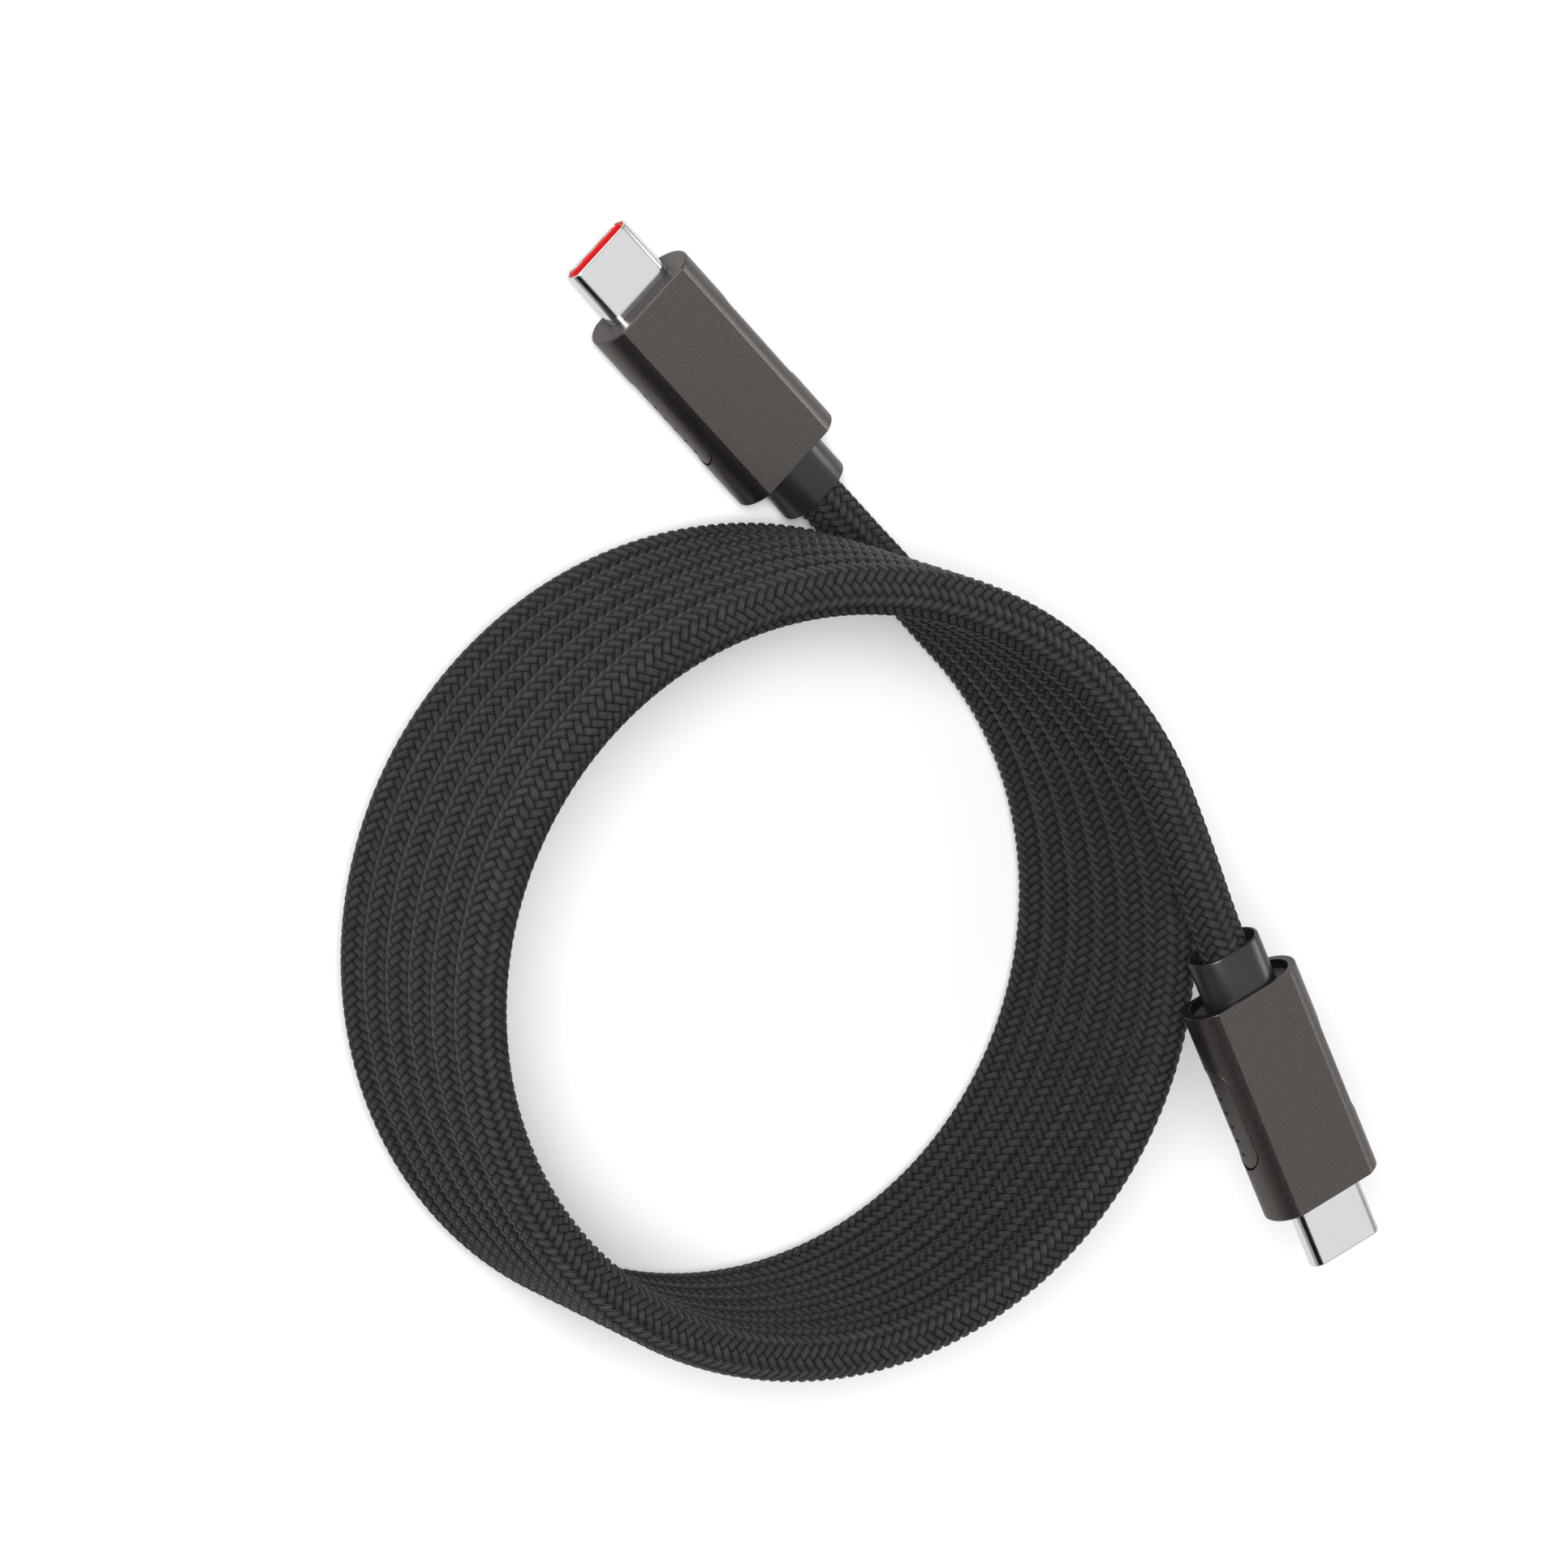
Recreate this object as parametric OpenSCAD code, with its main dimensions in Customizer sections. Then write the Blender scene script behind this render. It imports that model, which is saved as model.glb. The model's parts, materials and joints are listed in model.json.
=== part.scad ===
// Coiled charging cable with a flat two-way plug at each end.
// Millimetres. +Z is the coil's axis, the origin is on that axis at table level.

/* [Cord] */
// Outer diameter of the braided cord
cord_d = 5.2; // [4.6:0.1:5.2]
// Radius of the coil at the cord's centreline
coil_r = 38.8; // [38:0.1:40]
// Rise of the cord in one turn
turn_pitch = 5.47; // [5.3:0.01:5.6]

/* [Housing] */
// Width of the housing, side to side
housing_w = 13; // [12.8:0.1:13.6]
// Thickness of the housing
housing_t = 6.5; // [6.5:0.1:7]
// Length of the housing
housing_l = 23.9; // [23.6:0.1:26]
// Width of the flat on the broad faces
housing_flat = 8.85; // [8:0.05:9.5]
// Wall behind the broad faces
flat_wall = 0.35; // [0.3:0.01:0.35]
// Wall at the rounded sides
side_wall = 0.8; // [0.7:0.05:0.9]
// Wall at the front, round the shell
front_wall = 0.8; // [0.6:0.1:1]
// Depth from the rear rim to the inner mould
recess_d = 1; // [0.8:0.1:1.2]

/* [Side inlay] */
// Length of the oval inlay
inlay_l = 12; // [10:0.5:13]
// Height of the oval inlay
inlay_h = 4.3; // [3.4:0.1:4.4]
// Distance from the housing's front to the inlay
inlay_front = 6; // [5:0.5:7]

/* [Collar] */
// Width of the strain collar
collar_w = 8; // [7.8:0.1:8.6]
// Thickness of the strain collar
collar_t = 5.7; // [5.6:0.05:5.75]
// Length of the collar outside the housing
collar_l = 4.85; // [4:0.05:5.5]

/* [Plug shell] */
// Outer width of the plug shell
shell_w = 8.25; // [8.2:0.01:8.3]
// Outer thickness of the plug shell
shell_t = 2.4; // [2.36:0.01:2.44]
// Length of the shell in front of the housing
shell_out = 6.9; // [6.5:0.05:7]

/* [Hidden] */
PLUG_PARTS = [
  "housing_sleeve", "side_inlay_left", "side_inlay_right", "strain_collar", "inner_mould",
  "plug_shell", "mouth_insulator", "contact_carrier", "upper_contacts", "lower_contacts",
  "upper_ground_spring", "lower_ground_spring", "latch_left", "latch_right",
  "paddle_board", "board_parts", "shield_can_upper", "shield_can_lower",
  "crimp_ferrule", "power_wire", "ground_wire", "signal_wires"
];
NODES = concat(
  ["cord_coil", "cord_lead_a", "cord_lead_b"],
  [for (end = ["a", "b"], part = PLUG_PARTS) str("plug_", end, "_", part)],
  ["plug_a_marker_chip"]
);
node = "all";

$fn = 48;
eps = 0.01;

// Cord routes, from plug A's collar to the coil and from the coil to plug B's collar
lead_a_route = [
  [-27.1, 38.55, 3.25], [-23.5, 38.55, 3.25], [-19.5, 38.6, 3.15], [-15.5, 38.65, 3],
  [-11.5, 38.75, 2.85], [-7.5, 38.8, 2.7], [-3.5, 38.8, 2.6], [0, 38.8, 2.6]
];
lead_b_route = [
  [12.8, 36.6, 35.7], [16.8, 35.05, 35.85], [20.8, 33.3, 36.2], [24.8, 31.5, 36.55],
  [28.5, 29.98, 36.8], [30.23, 29.38, 36.85], [31.93, 28.8, 36.84]
];
tube_sides = 12;

// The coil's solid: a ring, cut lower past the place where the last turn leaves it
coil_turns = 6;
coil_h = coil_turns * turn_pitch + cord_d - 1;
coil_low_h = (coil_turns - 1) * turn_pitch + cord_d - 0.65;
coil_step_x = 12.6;

// Where the cord ends inside the collar, measured from the housing's rear rim
cord_end_x = -1;

// Housing section: the rounded side is an arc through the flat's edge and the widest point
side_sag = (housing_w - housing_flat) / 2;
side_r = (pow(housing_t / 2, 2) + pow(side_sag, 2)) / (2 * side_sag);
side_c = housing_w / 2 - side_r;
fit_gap = 0.05;
inlay_pocket = 0.5;
inlay_sunk = 0.18;
inlay_x = housing_l - inlay_front - inlay_l / 2;
inlay_gap = 0.08;
dimple_count = 6;
dimple_pitch = 1.65;
dimple_r = 0.25;
dimple_d = 0.12;

// Collar
collar_mouth_w = 7.2;
collar_mouth_t = 5.3;
collar_mouth_d = 1.2;
collar_tail_w = 6.4;
collar_tail_t = 4.6;
collar_tail_end = 4.2;
cord_socket_gap = 0.02;
wire_passage_r = 2;

// Inner mould and its bay for the electronics
bay_x = 4.2;
bay_w = 9;
bay_t = 4.1;
mould_end = housing_l - front_wall - fit_gap;

// Plug shell and what it holds
shell_wall = 0.25;
shell_x = 18;
shell_tip = housing_l + shell_out;
core_w = shell_w - 2 * shell_wall - 0.1;
core_t = shell_t - 2 * shell_wall - 0.1;
tongue_w = 6.9;
carrier_x = 18.6;
carrier_slot_x = 21.5;
carrier_slot_t = 1.24;
mouth_x = shell_tip - 3.85;
mouth_front = shell_tip - 0.15;
mouth_slot_t = 1;
mouth_ring_l = 0.45;

// Contacts, twelve a row
contact_count = 12;
contact_pitch = 0.5;
contact_w = 0.25;
contact_t = 0.12;
contact_z = 0.42;
contact_x = 17.2;
contact_tip = mouth_x - 0.5;
crown_l = 0.6;
crown_h = 0.08;

// Ground springs
spring_w = 5.6;
spring_t = 0.1;
spring_z = 0.8;
spring_x = mouth_x + fit_gap;
spring_l = 2.8;
finger_pitch = 2.2;
finger_w = 0.8;
finger_l = 1;
finger_z = 0.42;
tab_w = 0.95;
tab_gap = 0.03;

// Side latches
latch_pivot_x = 21.6;
latch_pivot_y = 3.5;
latch_root_r = 0.25;
latch_tip = mouth_front - mouth_ring_l - 0.3;
latch_in = 3.42;
latch_out = 3.6;
latch_t = 0.3;
hook_l = 0.7;
hook_in = 3.05;
latch_channel_t = 0.7;
latch_channel_in = 2.85;
latch_channel_x = 20.8;

// Paddle board, parts and shield cans
board_x = 8;
board_l = 9.9;
board_w = 8.2;
board_t = 0.8;
can_x = 9.6;
can_l = 9.6;
can_w = 8.8;
can_t = 3.9;
can_wall = 0.2;

// Wires and ferrule
wire_end = 9.4;
power_r = 0.5;
power_y = 0.95;
power_z = 0.95;
signal_r = 0.35;
signal_y = 1.1;
signal_z = -0.78;
ferrule_x = 4.8;
ferrule_l = 2.5;
ferrule_r = 2;
ferrule_wall = 0.15;

// ---- shared shapes ----

// Carries a flat section in Y and Z along +X
module along_x(x, length) {
  translate([x, 0, 0]) rotate([90, 0, 90]) linear_extrude(length) children();
}

// Oval with half-round ends, centred
module oval(w, t) {
  for (s = [-1, 1]) translate([s * (w - t) / 2, 0]) circle(d = t);
  square([w - t, t], center = true);
}

// Housing section, its rounded sides taken in by a depth
module barrel(side_in = 0) {
  intersection() {
    square([housing_w + 1, housing_t], center = true);
    union() {
      for (s = [-1, 1]) translate([s * side_c, 0]) circle(r = side_r - side_in, $fn = 96);
      square([2 * side_c, 2 * (side_r - side_in)], center = true);
    }
  }
}

// The hollow behind the housing's walls, taken in by a gap
module cavity(gap = 0) {
  oval(housing_w - 2 * side_wall - 2 * gap, housing_t - 2 * flat_wall - 2 * gap);
}

// Oval prism that runs out through one side of the housing
module inlay_prism(side, grow = 0) {
  translate([inlay_x, side * housing_w / 2, 0]) rotate([90, 0, 0])
    linear_extrude(4, center = true) oval(inlay_l + 2 * grow, inlay_h + 2 * grow);
}

function unit(v) = v / norm(v);
function heading(p, i) = unit(p[min(i + 1, len(p) - 1)] - p[max(i - 1, 0)]);

// Round tube swept along a route, one ring of points at each place on it
module tube(route, d) {
  n = len(route);
  s = tube_sides;
  points = [
    for (i = [0:n - 1], k = [0:s - 1])
      let (t = heading(route, i), u = unit(cross([0, 0, 1], t)), v = cross(t, u), a = 360 * k / s)
        route[i] + d / 2 * (cos(a) * u + sin(a) * v)
  ];
  sides = [
    for (i = [0:n - 2], k = [0:s - 1])
      [i * s + k, i * s + (k + 1) % s, (i + 1) * s + (k + 1) % s, (i + 1) * s + k]
  ];
  first = [for (k = [0:s - 1]) s - 1 - k];
  last = [for (k = [0:s - 1]) (n - 1) * s + k];
  polyhedron(points, [for (f = concat([first], sides, [last])) [for (j = [len(f) - 1:-1:0]) f[j]]]);
}

// Puts a plug at the end of a route, with its tip pointing on along the route
module at_route_end(route_end, before_end) {
  h = unit(route_end - before_end);
  translate(route_end) rotate([0, -asin(h[2]), atan2(h[1], h[0])]) translate([-cord_end_x, 0, 0])
    children();
}

module on_plug(end) {
  last = len(lead_b_route) - 1;
  if (end == "a") at_route_end(lead_a_route[0], lead_a_route[1]) children();
  else at_route_end(lead_b_route[last], lead_b_route[last - 1]) children();
}

// ---- cord ----

module cord_coil() {
  color([0.18, 0.18, 0.18]) difference() {
    rotate_extrude($fn = 120) translate([coil_r - cord_d / 2, 0]) square([cord_d, coil_h]);
    translate([coil_step_x, -coil_r - cord_d, coil_low_h]) cube([coil_r, 2 * coil_r + 2 * cord_d, coil_h]);
  }
}

module cord_lead(route) {
  color([0.18, 0.18, 0.18]) tube(route, cord_d);
}

// ---- plug, in its own frame: +X to the tip, Y across, Z through, x = 0 at the rear rim ----

module housing_sleeve() {
  color([0.35, 0.33, 0.32]) difference() {
    along_x(0, housing_l) barrel();
    along_x(-1, housing_l - front_wall + 1) cavity();
    along_x(housing_l - front_wall - 1, front_wall + 2)
      oval(shell_w + 2 * fit_gap, shell_t + 2 * fit_gap);
    for (side = [-1, 1]) difference() {
      inlay_prism(side);
      along_x(0, housing_l) barrel(inlay_pocket);
    }
  }
}

module side_inlay(side) {
  color([0.35, 0.33, 0.32]) difference() {
    intersection() {
      inlay_prism(side, -inlay_gap);
      along_x(0, housing_l) barrel(inlay_sunk);
    }
    along_x(0, housing_l) barrel(inlay_pocket);
    for (k = [0:dimple_count - 1])
      translate([
        inlay_x + (k - (dimple_count - 1) / 2) * dimple_pitch,
        side * (housing_w / 2 - inlay_sunk + dimple_r - dimple_d), 0
      ]) sphere(r = dimple_r, $fn = 16);
  }
}

module strain_collar() {
  color([0.2, 0.21, 0.22]) difference() {
    union() {
      along_x(-collar_l, collar_l + recess_d) oval(collar_w, collar_t);
      along_x(recess_d - eps, collar_tail_end - recess_d + eps) oval(collar_tail_w, collar_tail_t);
    }
    along_x(-collar_l - 1, collar_mouth_d + 1) oval(collar_mouth_w, collar_mouth_t);
    along_x(-collar_l, collar_l + cord_end_x) circle(r = cord_d / 2 + cord_socket_gap);
    along_x(cord_end_x - eps, collar_tail_end - cord_end_x + 1) circle(r = wire_passage_r);
  }
}

module inner_mould() {
  color([0.12, 0.12, 0.12]) difference() {
    along_x(recess_d, mould_end - recess_d) cavity(fit_gap);
    along_x(0, bay_x + eps) oval(collar_tail_w + 2 * fit_gap, collar_tail_t + 2 * fit_gap);
    along_x(bay_x, mould_end) square([bay_w, bay_t], center = true);
  }
}

module plug_shell() {
  color([0.87, 0.87, 0.88]) along_x(shell_x, shell_tip - shell_x) difference() {
    oval(shell_w, shell_t);
    oval(shell_w - 2 * shell_wall, shell_t - 2 * shell_wall);
  }
}

// Side channels in which the latches lie
module latch_channels(x0, x1) {
  for (side = [-1, 1])
    translate([(x0 + x1) / 2, side * (latch_channel_in + 2), 0])
      cube([x1 - x0, 4, latch_channel_t], center = true);
}

module mouth_insulator() {
  color([0.9, 0.02, 0.02]) difference() {
    along_x(mouth_x, mouth_front - mouth_x) oval(core_w, core_t);
    along_x(mouth_x - 1, mouth_front - mouth_x + 2) square([tongue_w, mouth_slot_t], center = true);
    latch_channels(mouth_x - 1, mouth_front - mouth_ring_l);
    for (up = [-1, 1]) {
      translate([spring_x + spring_l / 2, 0, up * (spring_z - 0.02 + 1)])
        cube([spring_l + 0.2, spring_w + 0.2, 2], center = true);
      for (k = [-1:1]) {
        translate([spring_x + spring_l - finger_l, k * finger_pitch, up * core_t / 2])
          cube([2 * finger_l, finger_w + 0.2, core_t], center = true);
        translate([mouth_front, k * finger_pitch, up * (spring_z - tab_gap + 1)])
          cube([3, tab_w + 2 * tab_gap, 2], center = true);
      }
    }
  }
}

module contact_carrier() {
  color([0.1, 0.1, 0.1]) difference() {
    along_x(carrier_x, mouth_x - carrier_x) oval(core_w, core_t);
    along_x(carrier_slot_x, mouth_x) square([tongue_w, carrier_slot_t], center = true);
    latch_channels(latch_channel_x, mouth_x + 1);
    for (up = [-1, 1], k = [0:contact_count - 1])
      translate([carrier_x, contact_y(k), up * (contact_z + contact_t / 2)])
        cube([8, contact_w + 0.04, contact_t + 0.04], center = true);
  }
}

function contact_y(k) = (k - (contact_count - 1) / 2) * contact_pitch;

module contacts(up) {
  color([0.85, 0.68, 0.3]) for (k = [0:contact_count - 1]) translate([0, contact_y(k), 0]) {
    translate([(contact_x + contact_tip) / 2, 0, up * (contact_z + contact_t / 2)])
      cube([contact_tip - contact_x, contact_w, contact_t], center = true);
    translate([contact_tip - crown_l, 0, up * (contact_z - crown_h / 2 + eps)])
      cube([crown_l, contact_w, crown_h + 2 * eps], center = true);
  }
}

module ground_spring(up) {
  color([0.8, 0.8, 0.8]) {
    translate([spring_x + spring_l / 2, 0, up * (spring_z + spring_t / 2)])
      cube([spring_l, spring_w, spring_t], center = true);
    for (k = [-1:1]) {
      translate([
        spring_x + spring_l - finger_l, k * finger_pitch, up * (spring_z + finger_z + eps) / 2
      ]) cube([finger_l, finger_w, spring_z - finger_z + eps], center = true);
      translate([
        (spring_x + spring_l + mouth_front) / 2 - tab_gap, k * finger_pitch, up * (spring_z + spring_t / 2)
      ]) cube([mouth_front - spring_x - spring_l, tab_w, spring_t], center = true);
    }
  }
}

module latch(side) {
  color([0.8, 0.8, 0.8]) {
    translate([latch_pivot_x, side * latch_pivot_y, 0])
      cylinder(h = latch_t, r = latch_root_r, center = true);
    translate([(latch_pivot_x + latch_tip) / 2, side * (latch_in + latch_out) / 2, 0])
      cube([latch_tip - latch_pivot_x, latch_out - latch_in, latch_t], center = true);
    translate([latch_tip - hook_l / 2, side * (hook_in + latch_out) / 2, 0])
      cube([hook_l, latch_out - hook_in, latch_t], center = true);
  }
}

module paddle_board() {
  color([0.05, 0.35, 0.2])
    translate([board_x + board_l / 2, 0, 0]) cube([board_l, board_w, board_t], center = true);
}

// One board component: its place, its size, and the board face it is on
module chip(x, y, size, up) {
  translate([x, y, up * (board_t + size[2]) / 2]) cube(size, center = true);
}

module board_parts() {
  color([0.15, 0.15, 0.15]) {
    chip(13, 0, [2.4, 2.2, 0.6], 1);
    for (k = [-1, 1]) {
      chip(11, 2.6 * k, [1, 0.5, 0.5], 1);
      chip(15.6, 2.4 * k, [1, 0.5, 0.5], 1);
      chip(11.2, 3 * k, [0.6, 0.3, 0.3], -1);
      chip(16.4, 2 * k, [1, 0.5, 0.5], -1);
    }
  }
}

module marker_chip() {
  color([0.1, 0.1, 0.1]) chip(13.6, 0, [2.6, 2.6, 0.7], -1);
}

module shield_can(up) {
  color([0.75, 0.76, 0.78]) difference() {
    translate([can_x + can_l / 2, 0, up * can_t / 4]) cube([can_l, can_w, can_t / 2], center = true);
    translate([can_x + can_l / 2, 0, up * (can_t / 4 - can_wall)])
      cube([can_l + 2, can_w - 2 * can_wall, can_t / 2], center = true);
  }
}

module crimp_ferrule() {
  color([0.7, 0.7, 0.72]) along_x(ferrule_x, ferrule_l) difference() {
    circle(r = ferrule_r);
    circle(r = ferrule_r - ferrule_wall);
  }
}

module wire(y, z, r) {
  translate([0, y, z]) along_x(cord_end_x, wire_end - cord_end_x) circle(r = r, $fn = 24);
}

module power_wire() {
  color("red") wire(power_y, power_z, power_r);
}

module ground_wire() {
  color("black") wire(-power_y, power_z, power_r);
}

module signal_wires() {
  color("white") for (k = [-1:1]) wire(k * signal_y, signal_z, signal_r);
}

// ---- placing ----

// True when this node is the one asked for
function shown(name) = node == "all" || node == name;

if (shown("cord_coil")) cord_coil();
if (shown("cord_lead_a")) cord_lead(lead_a_route);
if (shown("cord_lead_b")) cord_lead(lead_b_route);

for (end = ["a", "b"]) {
  if (shown(str("plug_", end, "_housing_sleeve"))) on_plug(end) housing_sleeve();
  if (shown(str("plug_", end, "_side_inlay_left"))) on_plug(end) side_inlay(1);
  if (shown(str("plug_", end, "_side_inlay_right"))) on_plug(end) side_inlay(-1);
  if (shown(str("plug_", end, "_strain_collar"))) on_plug(end) strain_collar();
  if (shown(str("plug_", end, "_inner_mould"))) on_plug(end) inner_mould();
  if (shown(str("plug_", end, "_plug_shell"))) on_plug(end) plug_shell();
  if (shown(str("plug_", end, "_mouth_insulator"))) on_plug(end) mouth_insulator();
  if (shown(str("plug_", end, "_contact_carrier"))) on_plug(end) contact_carrier();
  if (shown(str("plug_", end, "_upper_contacts"))) on_plug(end) contacts(1);
  if (shown(str("plug_", end, "_lower_contacts"))) on_plug(end) contacts(-1);
  if (shown(str("plug_", end, "_upper_ground_spring"))) on_plug(end) ground_spring(1);
  if (shown(str("plug_", end, "_lower_ground_spring"))) on_plug(end) ground_spring(-1);
  if (shown(str("plug_", end, "_latch_left"))) on_plug(end) latch(1);
  if (shown(str("plug_", end, "_latch_right"))) on_plug(end) latch(-1);
  if (shown(str("plug_", end, "_paddle_board"))) on_plug(end) paddle_board();
  if (shown(str("plug_", end, "_board_parts"))) on_plug(end) board_parts();
  if (shown(str("plug_", end, "_shield_can_upper"))) on_plug(end) shield_can(1);
  if (shown(str("plug_", end, "_shield_can_lower"))) on_plug(end) shield_can(-1);
  if (shown(str("plug_", end, "_crimp_ferrule"))) on_plug(end) crimp_ferrule();
  if (shown(str("plug_", end, "_power_wire"))) on_plug(end) power_wire();
  if (shown(str("plug_", end, "_ground_wire"))) on_plug(end) ground_wire();
  if (shown(str("plug_", end, "_signal_wires"))) on_plug(end) signal_wires();
}
if (shown("plug_a_marker_chip")) on_plug("a") marker_chip();
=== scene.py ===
"""Looks of a braided charging cable, wound in a round coil, with a flat two-way plug at each end.

Sizes are millimetres, and make_piece() turns them into metres. The coil's axis is +Z.
A plug's own frame has +X to its tip, +Y across it, +Z through it, and x = 0 at its rear rim.
"""

import json
import math

import bmesh
import bpy
import numpy as np
from mathutils import Matrix

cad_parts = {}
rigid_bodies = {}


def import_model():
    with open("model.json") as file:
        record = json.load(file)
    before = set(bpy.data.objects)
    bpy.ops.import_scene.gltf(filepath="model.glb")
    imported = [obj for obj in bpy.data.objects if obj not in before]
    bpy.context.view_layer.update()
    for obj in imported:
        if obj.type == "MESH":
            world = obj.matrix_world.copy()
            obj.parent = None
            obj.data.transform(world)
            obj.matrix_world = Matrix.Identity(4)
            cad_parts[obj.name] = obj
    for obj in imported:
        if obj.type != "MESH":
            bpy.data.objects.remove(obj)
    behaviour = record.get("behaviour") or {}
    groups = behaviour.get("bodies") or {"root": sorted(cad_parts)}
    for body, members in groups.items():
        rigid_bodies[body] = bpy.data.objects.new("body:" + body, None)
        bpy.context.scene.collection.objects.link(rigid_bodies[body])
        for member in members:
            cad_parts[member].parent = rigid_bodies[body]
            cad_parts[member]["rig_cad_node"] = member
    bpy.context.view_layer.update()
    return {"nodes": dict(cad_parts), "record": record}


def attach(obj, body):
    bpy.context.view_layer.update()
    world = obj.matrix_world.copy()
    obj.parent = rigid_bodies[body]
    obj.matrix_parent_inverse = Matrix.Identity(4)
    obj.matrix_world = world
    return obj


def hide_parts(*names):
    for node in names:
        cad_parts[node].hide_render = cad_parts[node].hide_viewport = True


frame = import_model()

MM = 0.001

# ---- sizes ----

cord_diameter = 5.2
jacket_radius = 2.28
coil_radius = 38.8
turn_pitch = 5.47
turns = 6
last_arc = 19.3  # degrees of the coil past its last full turn

lead_a_route = np.array([
    [-27.1, 38.55, 3.25], [-23.5, 38.55, 3.25], [-19.5, 38.6, 3.15], [-15.5, 38.65, 3],
    [-11.5, 38.75, 2.85], [-7.5, 38.8, 2.7], [-3.5, 38.8, 2.6], [0, 38.8, 2.6],
])
lead_b_route = np.array([
    [12.8, 36.6, 35.7], [16.8, 35.05, 35.85], [20.8, 33.3, 36.2], [24.8, 31.5, 36.55],
    [28.5, 29.98, 36.8], [30.23, 29.38, 36.85], [31.93, 28.8, 36.84],
])
cord_end_x = -1.0  # where the lead's last point lies in the plug's frame

ribbons_each_way = 12
braid_period = 1.05
steps_per_ribbon = 4
ribbon_low = 2.33
ribbon_high = 2.63

housing_w, housing_t, housing_l = 13.0, 6.5, 23.9
housing_flat = 8.85
side_wall, flat_wall, front_wall = 0.8, 0.35, 0.8
slot_gap = 0.1
shell_w, shell_t, shell_wall, shell_out = 8.25, 2.4, 0.25, 6.9
collar_w, collar_t, collar_l = 8.0, 5.7, 4.85
inlay_l, inlay_h, inlay_front = 12.0, 4.3, 6.0
pocket_depth = 0.5
housing_sharp = 18

side_sag = (housing_w - housing_flat) / 2
side_r = ((housing_t / 2) ** 2 + side_sag**2) / (2 * side_sag)
side_c = housing_w / 2 - side_r

# ---- camera ----

camera_azimuth = math.radians(-157.7)
camera_elevation = math.radians(61.64)
camera_roll = math.radians(111.98)
camera_distance = 991.3
frame_width = 157.1
look_height = 18.0
aim_right, aim_up = 1.46, 16.33


def unit(v):
    """v divided by its length, along the last axis."""
    return v / np.linalg.norm(v, axis=-1, keepdims=True)


def make_camera():
    """Looks down at the coil from plug A's side, rolled so that the coil's axis points right and down."""
    back = np.array([
        math.cos(camera_elevation) * math.cos(camera_azimuth),
        math.cos(camera_elevation) * math.sin(camera_azimuth),
        math.sin(camera_elevation),
    ])
    level = unit(np.cross(-back, [0, 0, 1]))
    upright = np.cross(level, -back)
    right = level * math.cos(camera_roll) + upright * math.sin(camera_roll)
    up = -level * math.sin(camera_roll) + upright * math.cos(camera_roll)
    middle = np.array([0, 0, look_height])
    place = middle + back * camera_distance
    aim = middle + right * aim_right + up * aim_up
    back = unit(place - aim)
    right = unit(right - back * np.dot(right, back))
    up = np.cross(back, right)
    data = bpy.data.cameras.new("camera")
    data.sensor_width = 36
    data.lens = data.sensor_width * camera_distance / frame_width
    data.clip_start, data.clip_end = 0.05, 20
    camera = bpy.data.objects.new("camera", data)
    matrix = np.eye(4)
    matrix[:3, 0], matrix[:3, 1], matrix[:3, 2] = right, up, back
    matrix[:3, 3] = place * MM
    camera.matrix_world = Matrix(matrix.tolist())
    bpy.context.collection.objects.link(camera)
    bpy.context.scene.camera = camera


make_camera()

# ---- meshes ----


def make_piece(name, points, *faces, uv=None):
    """A mesh object on the root body, from points in millimetres and one array of faces per face size."""
    mesh = bpy.data.meshes.new(name)
    points = np.asarray(points, np.float32).reshape(-1, 3) * MM
    corners = np.concatenate([f.ravel() for f in faces]).astype(np.int32)
    sizes = np.concatenate([np.full(len(f), f.shape[1]) for f in faces]).astype(np.int32)
    mesh.vertices.add(len(points))
    mesh.vertices.foreach_set("co", points.ravel())
    mesh.loops.add(len(corners))
    mesh.loops.foreach_set("vertex_index", corners)
    mesh.polygons.add(len(sizes))
    mesh.polygons.foreach_set("loop_start", (np.cumsum(sizes) - sizes).astype(np.int32))
    mesh.polygons.foreach_set("use_smooth", np.ones(len(sizes), bool))
    mesh.update(calc_edges=True)
    mesh.validate()
    if uv is not None:
        layer = mesh.uv_layers.new(name="ribbon")
        layer.uv.foreach_set("vector", np.asarray(uv, np.float32).ravel())
    piece = bpy.data.objects.new(name, mesh)
    bpy.context.collection.objects.link(piece)
    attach(piece, "root")
    return piece


def closed_grid(rows, columns):
    """Quads of a grid that closes on itself both ways. Row i, column j is point i * columns + j."""
    i, j = np.meshgrid(np.arange(rows), np.arange(columns), indexing="ij")
    i, j = i.ravel(), j.ravel()
    i2, j2 = (i + 1) % rows, (j + 1) % columns
    return np.stack([i * columns + j, i * columns + j2, i2 * columns + j2, i2 * columns + j], -1)


def merge_doubles(piece, near=1e-4):
    """Joins points closer than near millimetres and makes the faces point outwards."""
    bm = bmesh.new()
    bm.from_mesh(piece.data)
    bmesh.ops.remove_doubles(bm, verts=bm.verts, dist=near * MM)
    bmesh.ops.recalc_face_normals(bm, faces=bm.faces)
    bm.to_mesh(piece.data)
    bm.free()


# ---- the cord's line ----


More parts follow.
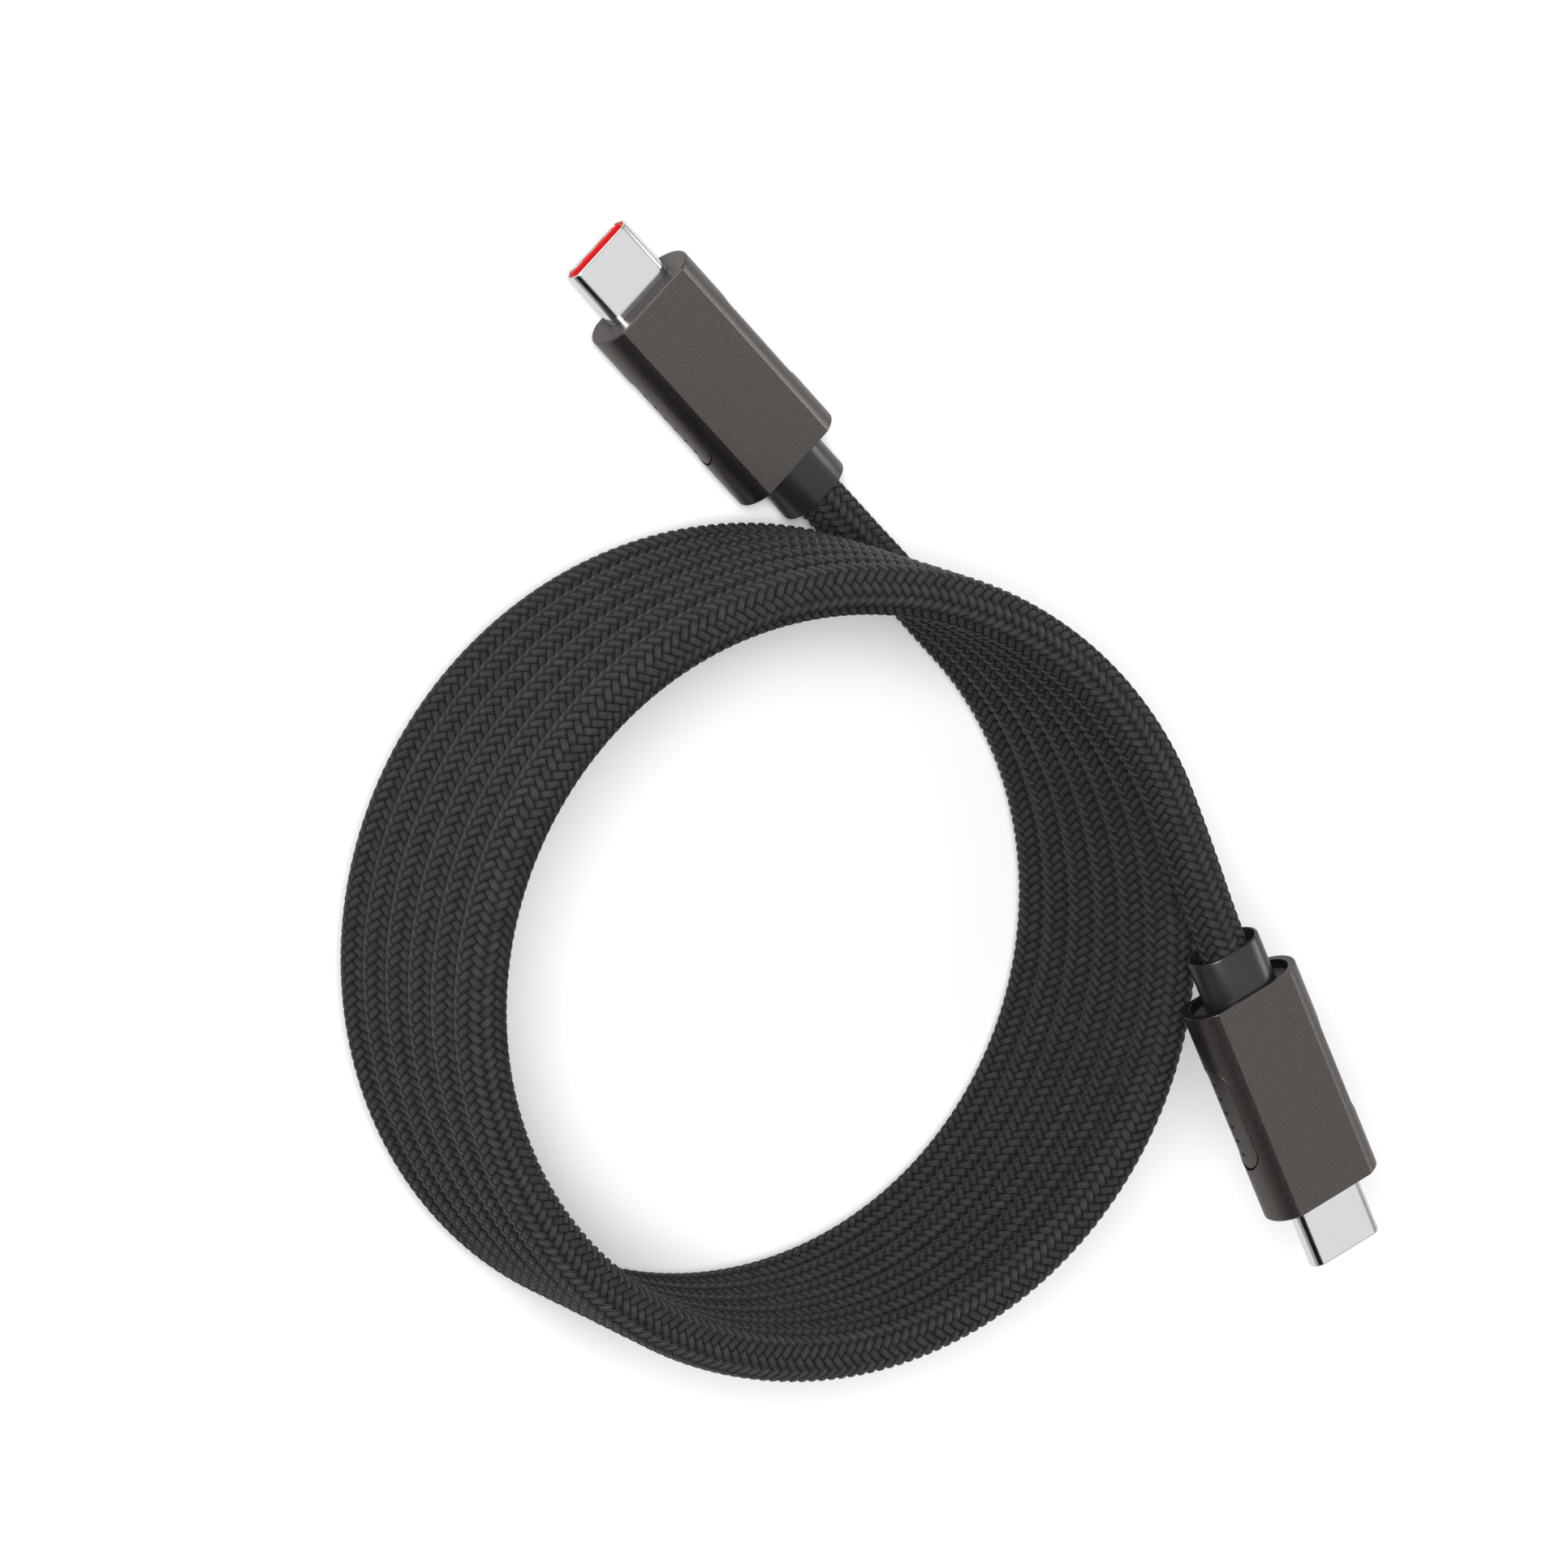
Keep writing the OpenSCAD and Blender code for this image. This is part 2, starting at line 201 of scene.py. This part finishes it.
def smooth_line(route, steps=24):
    """A curve through the points: between two, the cubic whose slopes are the mean of the neighbours'."""
    slope = np.gradient(route, axis=0)
    t = np.linspace(0, 1, steps, endpoint=False)[:, None, None]
    p0, p1, m0, m1 = route[:-1], route[1:], slope[:-1], slope[1:]
    curve = (
        (2 * t**3 - 3 * t**2 + 1) * p0
        + (t**3 - 2 * t**2 + t) * m0
        + (3 * t**2 - 2 * t**3) * p1
        + (t**3 - t**2) * m1
    )
    return np.concatenate([curve.transpose(1, 0, 2).reshape(-1, 3), route[-1:]])


def cord_line():
    """Lead A, then the coil as a helix that turns clockwise and rises one pitch a turn, then lead B."""
    turn = np.arange(1.0, 360 * turns + last_arc - 1, 1.0)
    angle = np.radians(turn)
    coil = np.stack([
        coil_radius * np.sin(angle),
        coil_radius * np.cos(angle),
        cord_diameter / 2 + turn_pitch * turn / 360,
    ], -1)
    return np.concatenate([smooth_line(lead_a_route), coil, smooth_line(lead_b_route)])


line = cord_line()
along = np.concatenate([[0], np.cumsum(np.linalg.norm(np.diff(line, axis=0), axis=1))])
heading = unit(np.gradient(line, along, axis=0))


def at(lengths, values):
    """values of the cord's line at these lengths along it."""
    flat = np.ravel(lengths)
    found = np.stack([np.interp(flat, along, values[:, k]) for k in range(3)], -1)
    return found.reshape(*np.shape(lengths), 3)


def tube_points(lengths, angles, radii):
    """Points round the cord: at each length, radius * (cos a * outward + sin a * the third direction)."""
    ahead = unit(at(lengths, heading))
    outward = unit(np.cross([0, 0, 1], ahead))
    third = np.cross(ahead, outward)
    round_it = np.cos(angles)[..., None] * outward + np.sin(angles)[..., None] * third
    return at(lengths, line) + radii[..., None] * round_it


def make_jacket(sides=16, step=1.3):
    """The inner jacket, a plain round tube along the whole line, closed at both ends."""
    count = int(along[-1] / step)
    lengths = np.linspace(0, along[-1], count)
    angles = np.linspace(0, 2 * math.pi, sides, endpoint=False)
    length_grid, angle_grid = np.meshgrid(lengths, angles, indexing="ij")
    points = tube_points(length_grid, angle_grid, np.full(length_grid.shape, jacket_radius))
    walls = closed_grid(count, sides)[: (count - 1) * sides]
    ends = np.stack([np.arange(sides)[::-1], np.arange(sides) + (count - 1) * sides])
    piece = make_piece("cord_jacket", points, walls, ends)
    return piece, at(lengths, line) * MM


# ---- the braid ----

ring_points = ribbons_each_way * steps_per_ribbon
ring_step = braid_period / (2 * steps_per_ribbon)


def lattice(across, ring):
    """Place on the braid of the point at a column step and a ring step, in ribbons of each direction."""
    k = steps_per_ribbon
    one, other = (across - ring) // 2, (across + ring) // 2
    return one // k, other // k, (one % k) / k, (other % k) / k


def ribbon_place(one, other, part_one, part_other):
    """Which ribbon is on top, and where on its float: (is it the first kind, 0 to 1 across, 0 to 1 along).

    Two over, two under: the first kind is on top where the sum of both ribbon numbers, modulo 4, is 0 or 1.
    """
    phase = (one + other) % 4
    first = phase < 2
    across = np.where(first, part_one, part_other)
    run = np.where(first, (part_other + phase) / 2, (part_one + phase - 2) / 2)
    return first, across, run


def float_height(across, run):
    """Height of a float, 0 at its edges and ends and 1 in the middle: a flat crown times a flat arch."""
    crown = 1 - (2 * across - 1) ** 4
    arch = np.clip(4 * run * (1 - run), 0, 1) ** 0.5
    return crown * arch


def make_sleeve(name, first_ring, last_ring):
    """A closed stretch of the braided sleeve.

    Rings are staggered by half a step, so that the diamonds between them lie along the ribbons and
    each ribbon's edge is a row of mesh edges. The radius at a point is low + (high - low) * float height.
    """
    m = ring_points
    ring, column = np.meshgrid(np.arange(first_ring, last_ring + 1), np.arange(m), indexing="ij")
    across = 2 * column + ring % 2
    _, place_across, run = ribbon_place(*lattice(across, ring))
    radii = ribbon_low + (ribbon_high - ribbon_low) * float_height(place_across, run)
    points = tube_points(ring * ring_step, math.pi * across / m, radii).reshape(-1, 3)
    ends = at(np.array([first_ring, last_ring]) * ring_step, line)
    points = np.concatenate([points, ends])

    def number(q, p):
        return (q - first_ring) * m + (p // 2) % m

    q, c = ring[1:-1].ravel(), column[1:-1].ravel()
    p = 2 * c + q % 2
    quads = np.stack([number(q, p), number(q - 1, p + 1), number(q, p + 2), number(q + 1, p + 1)], -1)
    one, other, part_one, part_other = lattice(p, q)
    step = 1 / steps_per_ribbon
    uv = []
    for up_one, up_other in ((0, 0), (step, 0), (step, step), (0, step)):
        _, u, v = ribbon_place(one, other, part_one + up_one, part_other + up_other)
        uv.append(np.stack([u, v], -1))
    uv = np.stack(uv, 1).reshape(-1, 2)
    column = np.arange(m)
    low = 2 * column + first_ring % 2
    high = 2 * column + last_ring % 2
    start, end = number(first_ring, low), number(last_ring, high)
    triangles = np.concatenate([
        np.stack([start, np.roll(start, -1), number(first_ring + 1, low + 1)], -1),
        np.stack([end, number(last_ring - 1, high + 1), np.roll(end, -1)], -1),
        np.stack([np.roll(start, -1), start, np.full(m, len(points) - 2)], -1),
        np.stack([end, np.roll(end, -1), np.full(m, len(points) - 1)], -1),
    ])
    uv = np.concatenate([uv, np.full((3 * len(triangles), 2), 0.5)])
    return make_piece(name, points, quads, triangles, uv=uv)


jacket, jacket_path = make_jacket()
lead_a_length = along[len(smooth_line(lead_a_route)) - 1]
turn_length = math.hypot(2 * math.pi * coil_radius, turn_pitch)
joins = [0, *(lead_a_length + turn_length * k for k in range(turns + 1)), along[-1]]
joins = [int(j / ring_step) for j in joins]
sleeve_names = ["sleeve_lead_a", *(f"sleeve_turn_{k + 1}" for k in range(turns)), "sleeve_lead_b"]
sleeves = [
    make_sleeve(name, start, end) for name, start, end in zip(sleeve_names, joins[:-1], joins[1:])
]

# ---- plug pieces ----


def plug_frame(end, before):
    """A plug's rear rim centre and its three directions, from the last two points of its lead."""
    ahead = unit(end - before)
    across = unit(np.cross([0, 0, 1], ahead))
    return end - cord_end_x * ahead, np.stack([ahead, across, np.cross(ahead, across)])


plugs = {
    "a": plug_frame(lead_a_route[0], lead_a_route[1]),
    "b": plug_frame(lead_b_route[-1], lead_b_route[-2]),
}


def on_plug(end, points):
    """Points of a plug's own frame, put where that plug lies."""
    rim, axes = plugs[end]
    return rim + np.asarray(points).reshape(-1, 3) @ axes


def section(centre, radius, half_t, arc=24, flat=12):
    """A closed outline in Y and Z: two arcs round (+-centre, 0), cut off at +-half_t, and flats between."""
    reach = math.asin(min(1.0, half_t / radius))
    a = np.linspace(-reach, reach, arc + 1)
    y, z = centre + radius * np.cos(a), radius * np.sin(a)
    inner = np.linspace(y[-1], -y[-1], flat + 1)[1:-1]
    edge = np.full(flat - 1, z[-1])
    return np.stack([
        np.concatenate([y, inner, -y, -inner]),
        np.concatenate([z, edge, -z, -edge]),
    ], -1)


def oval(w, t):
    """Outline with half-round ends, as centre, radius and half thickness."""
    return (w - t) / 2, t / 2, t / 2


def barrel(side_in=0.0):
    """The housing's outline, taken in all round by a depth."""
    return side_c, side_r - side_in, housing_t / 2 - side_in


def ring_solid(name, end, rows, sharp=housing_sharp):
    """A closed ring: an outline at each x of rows, joined one to the next and the last to the first."""
    outlines = np.stack([section(*shape) for _, shape in rows])
    x = np.array([x for x, _ in rows], float)
    x = np.repeat(x[:, None], outlines.shape[1], 1)
    points = np.concatenate([x[..., None], outlines], -1)
    faces = closed_grid(*points.shape[:2])
    piece = make_piece(name, on_plug(end, points), faces)
    merge_doubles(piece)
    piece.data.set_sharp_from_angle(angle=math.radians(sharp))
    return piece


def oval_patch(name, end, side, half_h, outer, inner, columns=200, rows=64):
    """A closed patch of the housing's rounded side in the shape of the inlay's oval.

    z is the height on the side's arc, and x runs over the oval's half length at that height:
    the straight half plus the square root of (half height squared - z squared). The outer and inner
    faces lie at the radii outer(x, z, distance from the edge) and inner on the arc round side_c.
    """
    straight = (inlay_l - inlay_h) / 2
    v = np.sin(np.linspace(-math.pi / 2, math.pi / 2, rows + 1))[:, None]
    even = np.linspace(-1, 1, columns + 1)
    u = (0.35 * np.sin(even * math.pi / 2) + 0.65 * even)[None, :]
    z = half_h * v + 0 * u
    x = (straight + half_h * np.sqrt(np.clip(1 - v**2, 0, 1))) * u
    from_edge = half_h - np.hypot(np.maximum(np.abs(x) - straight, 0), z)
    x0 = housing_l - inlay_front - inlay_l / 2

    def sheet(radius):
        y = side_c + np.sqrt(radius**2 - z**2)
        return np.stack([x0 + x, side * y, z], -1).reshape(-1, 3)

    points = np.concatenate([sheet(outer(x, z, from_edge)), sheet(inner)])
    n, shift = columns + 1, len(points) // 2
    i, j = np.meshgrid(np.arange(rows), np.arange(columns), indexing="ij")
    first = (i * n + j).ravel()
    quads = np.stack([first, first + n, first + n + 1, first + 1], -1)
    border = np.concatenate([
        np.arange(columns), np.arange(rows) * n + columns,
        rows * n + np.arange(columns, 0, -1), np.arange(rows, 0, -1) * n,
    ])
    after = np.roll(border, -1)
    walls = np.stack([border, after, after + shift, border + shift], -1)
    piece = make_piece(name, on_plug(end, points), quads, quads[:, ::-1] + shift, walls)
    merge_doubles(piece)
    return piece


def make_housing(end):
    """The sleeve: outer face, fine chamfer, front face with the shell's slot, and hollow to the rear."""
    slot = oval(shell_w + slot_gap, shell_t + slot_gap)
    hollow = oval(housing_w - 2 * side_wall, housing_t - 2 * flat_wall)
    chamfer = 0.16
    wall_back = housing_l - front_wall
    piece = ring_solid(f"housing_{end}", end, [
        (0, barrel(0.05)), (0.02, barrel(0.014)), (0.06, barrel()),
        (housing_l - chamfer, barrel()), (housing_l, barrel(chamfer)), (housing_l, slot),
        (wall_back, slot), (wall_back, hollow), (0.03, hollow),
        (0, oval(housing_w - 1.54, housing_t - 0.64)),
    ])
    for side in (-1, 1):
        pocket = oval_patch(
            "pocket", end, side, inlay_h / 2, lambda x, z, e: side_r + 1, side_r - pocket_depth, 60, 24)
        cut = piece.modifiers.new("pocket", "BOOLEAN")
        cut.object, cut.operation, cut.solver = pocket, "DIFFERENCE", "EXACT"
        result = piece.evaluated_get(bpy.context.evaluated_depsgraph_get())
        mesh = bpy.data.meshes.new_from_object(result)
        piece.modifiers.clear()
        piece.data = mesh
        bpy.data.objects.remove(pocket)
    piece.data.shade_smooth()
    piece.data.set_sharp_from_angle(angle=math.radians(housing_sharp))
    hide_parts(f"plug_{end}_housing_sleeve")
    return piece


def make_inlay(end, side):
    """The oval inlay, sunk a little, its edge rounded over, with a row of six round dimples."""
    sunk, edge, gap = 0.1, 0.07, 0.15
    pitch, dimple_r, dimple_depth = 1.65, 0.25, 0.22

    def outer(x, z, from_edge):
        nearest = np.clip(np.round(x / pitch - 0.5), -3, 2) + 0.5
        reach = np.hypot(x - nearest * pitch, z)
        rounding = edge * np.clip(1 - from_edge / edge, 0, 1) ** 2
        hollow = dimple_depth * np.clip(1 - (reach / dimple_r) ** 2, 0, 1) ** 0.6
        return side_r - sunk - rounding - hollow

    which = "left" if side > 0 else "right"
    piece = oval_patch(
        f"inlay_{end}_{which}", end, side, inlay_h / 2 - gap, outer, side_r - pocket_depth)
    piece.data.set_sharp_from_angle(angle=math.radians(50))
    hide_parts(f"plug_{end}_side_inlay_{which}")
    return piece


def make_collar(end):
    """The strain collar: a flattened tube with a rounded lip, an oval mouth and a round cord socket."""
    socket_r, socket_end = 2.66, 1.2
    socket = (0.0, socket_r, socket_r)
    piece = ring_solid(f"collar_{end}", end, [
        (-socket_end, socket), (-collar_l + socket_end, socket),
        (-collar_l + socket_end, oval(7.2, 5.32)),
        (-collar_l + 0.12, oval(7.2, 5.32)), (-collar_l + 0.03, oval(7.26, 5.36)),
        (-collar_l, oval(7.38, 5.42)), (-collar_l + 0.01, oval(7.72, 5.52)),
        (-collar_l + 0.07, oval(7.9, 5.62)), (-collar_l + 0.18, oval(collar_w, collar_t)),
        (socket_end, oval(collar_w, collar_t)), (socket_end, socket),
    ], sharp=50)
    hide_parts(f"plug_{end}_strain_collar")
    return piece


def make_shell(end):
    """The plug shell: an oval tube with its lip rounded in at the mouth."""
    rear, tip = 18, housing_l + shell_out
    w, t, wall = shell_w, shell_t, shell_wall

    def inset(d):
        return oval(w - 2 * d, t - 2 * d)

    piece = ring_solid(f"shell_{end}", end, [
        (rear, inset(0)), (tip - 0.2, inset(0)), (tip - 0.13, inset(0.012)), (tip - 0.07, inset(0.04)),
        (tip - 0.02, inset(0.09)), (tip, inset(0.15)), (tip - 0.01, inset(0.19)),
        (tip - 0.04, inset(0.225)), (tip - 0.09, inset(wall)), (rear, inset(wall)),
    ], sharp=50)
    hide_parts(f"plug_{end}_plug_shell")
    return piece


# ---- materials ----


def new_material(name, color, roughness, metallic=0.0, specular=0.5):
    """A material with one Principled shader; uniform values are set on its own sockets."""
    m = bpy.data.materials.new(name)
    m.use_nodes = True
    shader = m.node_tree.nodes["Principled BSDF"]
    shader.inputs["Base Color"].default_value = (*color, 1)
    shader.inputs["Roughness"].default_value = roughness
    shader.inputs["Metallic"].default_value = metallic
    shader.inputs["Specular IOR Level"].default_value = specular
    return m, m.node_tree, shader


def node(tree, kind, **settings):
    """Adds a node and sets its properties and, by name, its inputs."""
    made = tree.nodes.new(kind)
    for key, value in settings.items():
        if key in made.inputs:
            made.inputs[key].default_value = value
        else:
            setattr(made, key.lower(), value)
    return made


def noise(tree, scale, detail=3.0, roughness=0.5, stretch=None):
    """Noise on Object coordinates, scale in cells a metre, drawn out along an axis by stretch."""
    where = tree.nodes.new("ShaderNodeTexCoord").outputs["Object"]
    if stretch:
        mapping = node(tree, "ShaderNodeMapping", Scale=stretch)
        tree.links.new(where, mapping.inputs["Vector"])
        where = mapping.outputs["Vector"]
    made = node(tree, "ShaderNodeTexNoise", Scale=scale, Detail=detail, Roughness=roughness)
    tree.links.new(where, made.inputs["Vector"])
    return made.outputs["Fac"]


def mix_color(tree, factor, low, high):
    """A colour between low and high."""
    ramp = tree.nodes.new("ShaderNodeValToRGB")
    ramp.color_ramp.elements[0].color = (*low, 1)
    ramp.color_ramp.elements[1].color = (*high, 1)
    tree.links.new(factor, ramp.inputs["Fac"])
    return ramp.outputs["Color"]


def spread_value(tree, factor, low, high):
    """factor from 0 to 1 taken to low to high."""
    made = tree.nodes.new("ShaderNodeMapRange")
    made.inputs["To Min"].default_value = low
    made.inputs["To Max"].default_value = high
    tree.links.new(factor, made.inputs["Value"])
    return made.outputs["Result"]


def bump(tree, shader, height, depth):
    """Gives the shader a bump of a depth in metres."""
    made = node(tree, "ShaderNodeBump", Strength=1.0, Distance=depth)
    tree.links.new(height, made.inputs["Height"])
    tree.links.new(made.outputs["Normal"], shader.inputs["Normal"])


def calc(tree, operation, first, second=None):
    """A Math node on one or two values, each a socket or a number."""
    made = node(tree, "ShaderNodeMath", operation=operation)
    for k, value in enumerate((first, second)):
        if isinstance(value, (int, float)):
            made.inputs[k].default_value = value
        elif value is not None:
            tree.links.new(value, made.inputs[k])
    return made.outputs["Value"]


def braid_finish():
    """Fine black yarn: filaments along each ribbon, with painted shade in the grooves, a painted highlight
    in the middle of each float, and patchy lighter places.
    """
    m, tree, shader = new_material("braid", (0.016, 0.017, 0.018), 0.42, specular=0.16)
    uv = tree.nodes.new("ShaderNodeUVMap")
    uv.uv_map = "ribbon"
    split = tree.nodes.new("ShaderNodeSeparateXYZ")
    tree.links.new(uv.outputs["UV"], split.inputs["Vector"])
    across, run = split.outputs["X"], split.outputs["Y"]
    filaments = calc(tree, "ABSOLUTE", calc(tree, "SINE", calc(tree, "MULTIPLY", across, math.pi * 6)))
    edge = calc(tree, "ABSOLUTE", calc(tree, "SUBTRACT", calc(tree, "MULTIPLY", across, 2.0), 1.0))
    tip = calc(tree, "ABSOLUTE", calc(tree, "SUBTRACT", calc(tree, "MULTIPLY", run, 2.0), 1.0))
    # Painted shade and highlight: this mask is 0 at each ribbon's edges and at its float's ends, where the
    # grooves are, and 1 in the middle of the float.
    painted_highlight_and_groove_shade = calc(
        tree, "MULTIPLY",
        calc(tree, "SUBTRACT", 1.0, calc(tree, "POWER", edge, 4.0)),
        calc(tree, "SUBTRACT", 1.0, calc(tree, "POWER", tip, 5.0)),
    )
    patchy = noise(tree, 900, detail=2)
    # The base colour below follows this painted groove shade and float highlight, times the filament stripes
    # and the patchy tone.
    light = calc(tree, "MULTIPLY", painted_highlight_and_groove_shade, calc(
        tree, "ADD", calc(tree, "MULTIPLY", filaments, 0.4), calc(tree, "MULTIPLY", patchy, 0.7)))
    tree.links.new(
        mix_color(tree, light, (0.0015, 0.0015, 0.0015), (0.05, 0.051, 0.052)),
        shader.inputs["Base Color"],
    )
    tree.links.new(spread_value(tree, patchy, 0.32, 0.5), shader.inputs["Roughness"])
    fibres = calc(tree, "ADD", filaments, calc(tree, "MULTIPLY", noise(tree, 9000, detail=1), 0.5))
    bump(tree, shader, fibres, 0.00005)
    return m


def anodised_finish():
    """Gunmetal anodised metal with a fine blasted grain."""
    m, tree, shader = new_material("gunmetal", (0.105, 0.094, 0.089), 0.36, metallic=1.0)
    grain = noise(tree, 5200, detail=2, roughness=0.6)
    tree.links.new(
        mix_color(tree, grain, (0.07, 0.062, 0.0585), (0.155, 0.139, 0.132)),
        shader.inputs["Base Color"],
    )
    tree.links.new(spread_value(tree, grain, 0.3, 0.44), shader.inputs["Roughness"])
    bump(tree, shader, grain, 0.00002)
    return m


def collar_finish():
    """Satin black moulded elastomer."""
    m, tree, shader = new_material("collar_black", (0.011, 0.012, 0.013), 0.34)
    fine = noise(tree, 6000, detail=2)
    wide = noise(tree, 300, detail=2)
    tree.links.new(spread_value(tree, wide, 0.28, 0.38), shader.inputs["Roughness"])
    tree.links.new(
        mix_color(tree, wide, (0.009, 0.0095, 0.0105), (0.014, 0.015, 0.016)),
        shader.inputs["Base Color"],
    )
    bump(tree, shader, fine, 0.000004)
    return m


def bright_finish(name, color, low, high):
    """Plated or stamped metal with faint drawing marks."""
    m, tree, shader = new_material(name, color, (low + high) / 2, metallic=1.0)
    marks = noise(tree, 1500, detail=3, stretch=(0.2, 3, 3))
    tree.links.new(spread_value(tree, marks, low, high), shader.inputs["Roughness"])
    dark = tuple(0.93 * c for c in color)
    tree.links.new(mix_color(tree, marks, dark, color), shader.inputs["Base Color"])
    bump(tree, shader, marks, 0.000002)
    return m


def moulded_finish(name, color, roughness=0.4):
    """Moulded plastic with a faint texture and a little change of colour."""
    m, tree, shader = new_material(name, color, roughness, specular=0.45)
    wide = noise(tree, 700, detail=3)
    low, high = tuple(0.88 * c for c in color), tuple(min(1, 1.08 * c) for c in color)
    tree.links.new(mix_color(tree, wide, low, high), shader.inputs["Base Color"])
    tree.links.new(spread_value(tree, wide, roughness - 0.06, roughness + 0.06), shader.inputs["Roughness"])
    bump(tree, shader, noise(tree, 7000, detail=2), 0.000004)
    return m


finishes = {
    "cord_braid": braid_finish(),
    "housing_metal": anodised_finish(),
    "collar_plastic": collar_finish(),
    "mould_plastic": moulded_finish("mould_black", (0.045, 0.043, 0.042), 0.5),
    "shell_steel": bright_finish("bright_nickel", (0.83, 0.835, 0.84), 0.10, 0.2),
    "mouth_red": moulded_finish("mouth_red", (0.6, 0.001, 0.001), 0.5),
    "contact_gold": bright_finish("gold_plate", (0.9, 0.66, 0.28), 0.14, 0.24),
    "spring_steel": bright_finish("spring_steel", (0.72, 0.72, 0.73), 0.2, 0.34),
    "board_green": moulded_finish("board_green", (0.01, 0.09, 0.035), 0.35),
    "chip_black": moulded_finish("chip_black", (0.014, 0.014, 0.015), 0.5),
    "can_tin": bright_finish("tin_plate", (0.6, 0.61, 0.63), 0.28, 0.42),
    "wire_red": moulded_finish("wire_red", (0.55, 0.015, 0.012), 0.4),
    "wire_black": moulded_finish("wire_black", (0.015, 0.015, 0.016), 0.4),
    "wire_white": moulded_finish("wire_white", (0.72, 0.72, 0.7), 0.4),
}


def finish_piece(piece, slot):
    """Gives a piece the finish of the record's slot that it stands for."""
    piece.data.materials.clear()
    piece.data.materials.append(finishes[slot])


for row in frame["record"]["subparts"]:
    finish_piece(frame["nodes"][row["node"]], row["material_slot"])

finish_piece(jacket, "cord_braid")
for sleeve in sleeves:
    finish_piece(sleeve, "cord_braid")
for end in plugs:
    plug_pieces = [
        (make_housing(end), "housing_metal"), (make_collar(end), "collar_plastic"),
        (make_shell(end), "shell_steel"), (make_inlay(end, 1), "housing_metal"),
        (make_inlay(end, -1), "housing_metal"),
    ]
    for piece, slot in plug_pieces:
        finish_piece(piece, slot)

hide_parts("cord_coil", "cord_lead_a", "cord_lead_b")

# ---- floor and light ----


def make_floor():
    """A large plain pale floor at the table's height, a little dimmer where it is seen in a reflection."""
    half = 3000.0
    pale, reflected_pale = (0.9,) * 3, (0.6,) * 3
    points = [[-half, -half, 0], [half, -half, 0], [half, half, 0], [-half, half, 0]]
    mesh = bpy.data.meshes.new("floor")
    mesh.from_pydata((np.array(points) * MM).tolist(), [], [[0, 1, 2, 3]])
    floor = bpy.data.objects.new("floor", mesh)
    bpy.context.collection.objects.link(floor)
    m, tree, shader = new_material("pale_floor", pale, 0.9, specular=0.0)
    reflected = tree.nodes.new("ShaderNodeLightPath").outputs["Is Glossy Ray"]
    tree.links.new(mix_color(tree, reflected, pale, reflected_pale), shader.inputs["Base Color"])
    mesh.materials.append(m)


def soft_light(name, place, aim, size, power):
    """A square area light at a place that isn't straight above the point it faces, in millimetres."""
    data = bpy.data.lights.new(name, "AREA")
    data.shape = "SQUARE"
    data.size = size * MM
    data.energy = power
    lamp = bpy.data.objects.new(name, data)
    back = unit(np.array(place, float) - np.array(aim, float))
    right = unit(np.cross([0, 0, 1], back))
    matrix = np.eye(4)
    matrix[:3, 0], matrix[:3, 1], matrix[:3, 2] = right, np.cross(back, right), back
    matrix[:3, 3] = np.array(place) * MM
    lamp.matrix_world = Matrix(matrix.tolist())
    bpy.context.collection.objects.link(lamp)


def make_surround(level, panels):
    """An even surround with soft panels: each a direction, an inner and an outer half angle, and a level."""
    world = bpy.data.worlds.new("surround")
    world.use_nodes = True
    tree = world.node_tree
    where = tree.nodes.new("ShaderNodeTexCoord").outputs["Generated"]
    for direction, inner, outer, panel_level in panels:
        near = node(tree, "ShaderNodeVectorMath", operation="DOT_PRODUCT")
        near.inputs[1].default_value = unit(np.array(direction, float)).tolist()
        tree.links.new(where, near.inputs[0])
        mask = node(tree, "ShaderNodeMapRange", interpolation_type="SMOOTHSTEP")
        mask.inputs["From Min"].default_value = math.cos(math.radians(outer))
        mask.inputs["From Max"].default_value = math.cos(math.radians(inner))
        tree.links.new(near.outputs["Value"], mask.inputs["Value"])
        mix = node(tree, "ShaderNodeMix", data_type="FLOAT")
        tree.links.new(mask.outputs["Result"], mix.inputs["Factor"])
        if isinstance(level, float):
            mix.inputs["A"].default_value = level
        else:
            tree.links.new(level, mix.inputs["A"])
        mix.inputs["B"].default_value = panel_level
        level = mix.outputs["Result"]
    tree.links.new(level, tree.nodes["Background"].inputs["Strength"])
    tree.nodes["Background"].inputs["Color"].default_value = (1, 1, 1, 1)
    bpy.context.scene.world = world


make_floor()
make_surround(0.34, [
    ((0.44, 0.18, 0.88), 20, 40, 0.86),
    ((0.3, -0.78, 0.55), 22, 38, 0.005),
    ((0.2, -0.97, 0.05), 14, 26, 0.4),
    ((0.48, 0.79, 0.37), 6, 15, 6.0),
    ((-0.88, 0.18, 0.44), 8, 16, 3.0),
])
soft_light("camera_side_light", (-480, -200, 960), (0, 0, look_height), 420, 14)
bpy.context.scene.view_settings.view_transform = "Standard"
